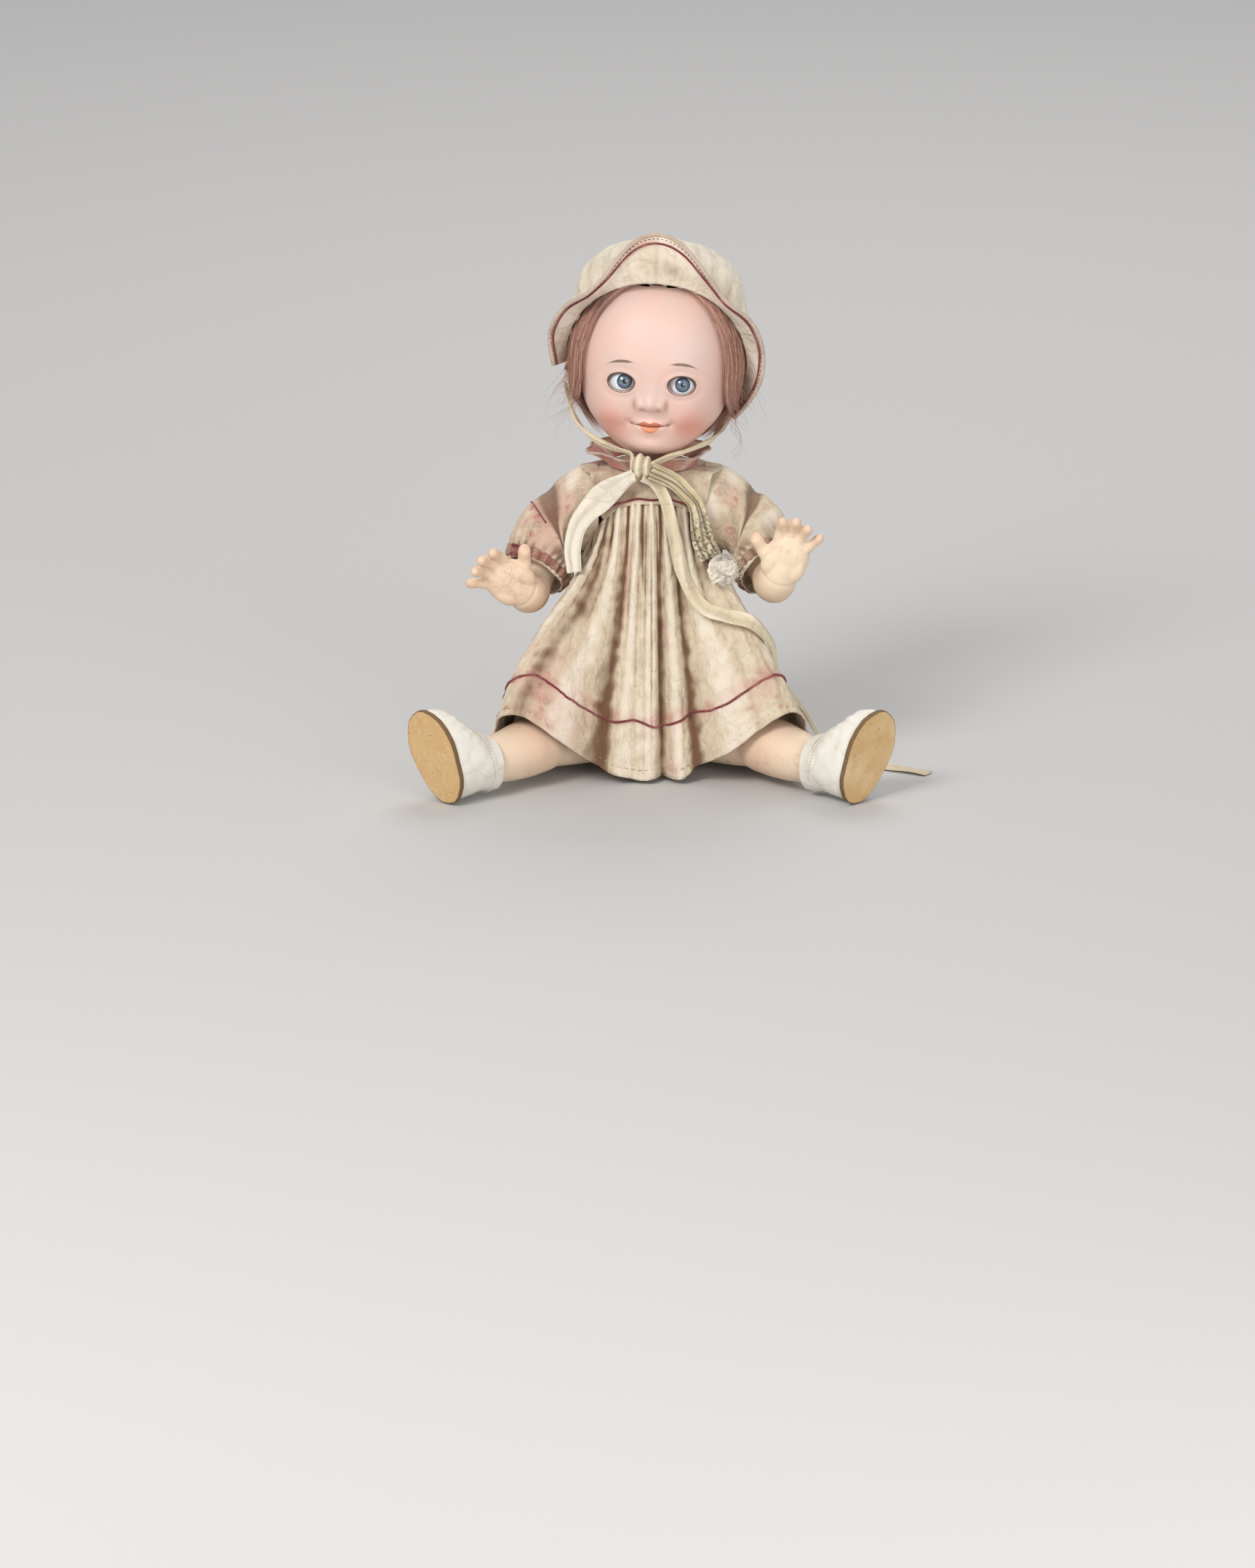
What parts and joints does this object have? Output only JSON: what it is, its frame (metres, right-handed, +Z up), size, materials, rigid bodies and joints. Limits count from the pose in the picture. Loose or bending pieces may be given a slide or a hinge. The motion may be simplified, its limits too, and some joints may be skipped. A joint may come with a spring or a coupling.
{
  "type": "doll",
  "caption": "Seated bisque-head toddler doll with side-glancing eyes, gathered cotton dress, brimmed bonnet tied with ribbon, and white shoes; head, eyes, arms and legs move.",
  "frame": {"origin": "middle of the flat seat under the torso", "axes": "+Z up, the doll faces -Y, +X is the doll's left"},
  "size_m": [0.2464, 0.1474, 0.2582],
  "materials": {
    "bisque": "matt fired bisque, tinted",
    "card": "plain",
    "mohair": "soft mohair",
    "bonnet_cotton": "faded printed cotton",
    "red_cotton": "faded red cotton",
    "silk": "aged silk ribbon",
    "eye_glass": "polished",
    "wire": "bent wire",
    "lead": "cast",
    "plug_wood": "turned",
    "composition": "painted composition, satin",
    "elastic": "covered elastic",
    "printed_cotton": "faded flower print",
    "button": "shell-like",
    "white_leather": "soft, creased",
    "sole_leather": "scuffed"
  },
  "bodies": {
    "torso": {"torso_front": "composition", "torso_back": "composition", "arm_elastic": "elastic", "leg_elastic": "elastic", "dress_skirt": "printed_cotton", "dress_yoke": "printed_cotton", "dress_collar": "printed_cotton", "hem_piping": "red_cotton", "yoke_piping": "red_cotton", "back_button": "button", "long_ribbon": "silk", "wide_ribbon": "silk", "striped_ribbon": "silk", "frayed_end": "silk"},
    "neck": {"neck_plug": "plug_wood", "neck_hook": "wire"},
    "head": {"head": "bisque", "pate": "card", "wig": "mohair", "bonnet_crown": "bonnet_cotton", "bonnet_brim": "bonnet_cotton", "brim_piping": "red_cotton", "bonnet_tie_left": "silk", "bonnet_tie_right": "silk", "bow_knot": "silk"},
    "eyes": {"eye_left": "eye_glass", "eye_right": "eye_glass", "eye_bridge": "wire", "eye_weight": "lead"},
    "arm_left": {"arm_left": "composition", "arm_hook_left": "wire", "sleeve_left": "printed_cotton", "cuff_band_left": "red_cotton", "cuff_bow_left": "red_cotton"},
    "leg_left": {"leg_left": "composition", "leg_hook_left": "wire", "shoe_upper_left": "white_leather", "shoe_strap_left": "white_leather", "shoe_button_left": "button", "shoe_sole_left": "sole_leather"},
    "arm_right": {"arm_right": "composition", "arm_hook_right": "wire", "sleeve_right": "printed_cotton", "cuff_band_right": "red_cotton", "cuff_bow_right": "red_cotton"},
    "leg_right": {"leg_right": "composition", "leg_hook_right": "wire", "shoe_upper_right": "white_leather", "shoe_strap_right": "white_leather", "shoe_button_right": "button", "shoe_sole_right": "sole_leather"}
  },
  "joints": [
    {"name": "head_nod", "type": "hinge", "parent": "torso", "child": "neck", "pos_m": [0, 0.01377, 0.131], "axis": [-0.9962, 0.0732, 0.0472], "range_deg": [0, 12]},
    {"name": "head_turn", "type": "hinge", "parent": "neck", "child": "head", "pos_m": [0, 0.01377, 0.131], "axis": [0.0523, 0.0697, 0.9962], "range_deg": [-60, 60]},
    {"name": "eye_rock", "type": "hinge", "parent": "head", "child": "eyes", "pos_m": [0.00034, -0.01797, 0.18741], "axis": [0.9962, -0.0732, -0.0472], "range_deg": [0, 75]},
    {"name": "shoulder_left", "type": "hinge", "parent": "torso", "child": "arm_left", "pos_m": [0.0285, 0.01198, 0.114], "axis": [-1, 0, 0], "range_deg": [-20, 75]},
    {"name": "shoulder_right", "type": "hinge", "parent": "torso", "child": "arm_right", "pos_m": [-0.0285, 0.01198, 0.114], "axis": [-1, 0, 0], "range_deg": [-20, 75]},
    {"name": "hip_left", "type": "hinge", "parent": "torso", "child": "leg_left", "pos_m": [0.025, -0.014, 0.023], "axis": [0.8941, 0, -0.4478], "range_deg": [0, 108]},
    {"name": "hip_right", "type": "hinge", "parent": "torso", "child": "leg_right", "pos_m": [-0.025, -0.014, 0.023], "axis": [0.8941, 0, 0.4478], "range_deg": [0, 108]}
  ]
}
